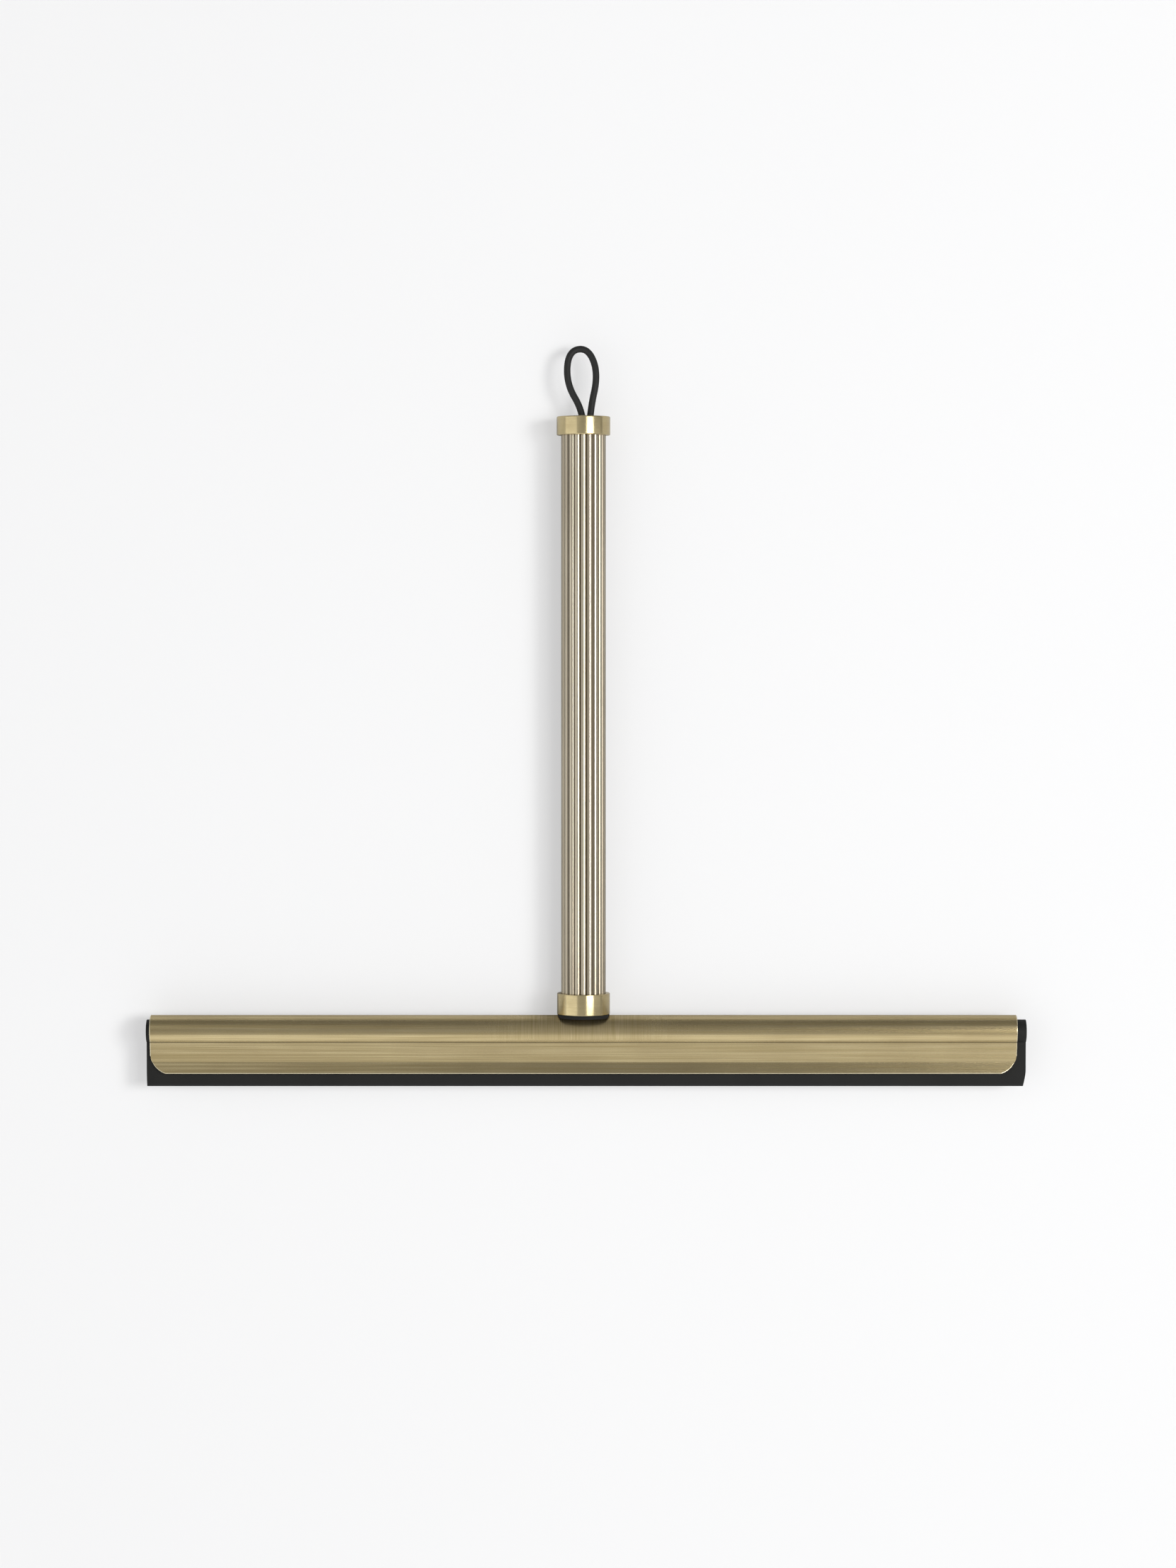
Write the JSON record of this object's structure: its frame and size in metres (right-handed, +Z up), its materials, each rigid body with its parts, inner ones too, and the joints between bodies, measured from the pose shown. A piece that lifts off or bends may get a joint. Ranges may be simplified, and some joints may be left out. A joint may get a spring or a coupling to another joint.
{
  "type": "window cleaning squeegee",
  "caption": "Window squeegee with a folded brass channel holding a doubled black rubber blade, a reeded tubular handle with end collars, and a short cord loop for hanging.",
  "frame": {"origin": "on the table under the handle's axis, halfway along the object's length without its cord loop; the object lies on its back", "axes": "+X along the blade, +Y from the wiping edge up the handle to the hanging loop, +Z up from the table"},
  "size_m": [0.35, 0.294, 0.0212],
  "materials": {
    "channel_brass": "sheet brass brushed lengthwise",
    "turned_brass": "turned and fine brushed round the axis",
    "reeded_brass": "drawn reeded tube, satin",
    "blade_rubber": "matt black wiping rubber",
    "washer_rubber": "matt black moulded rubber",
    "cord_rubber": "round black rubber cord, matt",
    "rod_nylon": "extruded natural nylon rod",
    "crimp_aluminium": "squeezed aluminium sleeve"
  },
  "bodies": {
    "handle_and_channel": {"blade_channel": "channel_brass", "handle_stud": "turned_brass", "saddle_washer": "washer_rubber", "lower_collar": "turned_brass", "lower_plug": "turned_brass", "handle_tube": "reeded_brass", "cap_bush": "turned_brass", "end_cap": "turned_brass", "cord_loop": "cord_rubber", "cord_crimp": "crimp_aluminium"},
    "blade": {"rubber_blade": "blade_rubber", "core_rod": "rod_nylon"}
  },
  "joints": [
    {"name": "blade_slide", "type": "slide", "parent": "handle_and_channel", "child": "blade", "axis": [1, 0, 0], "range_m": [-0.33, 0.33]}
  ]
}
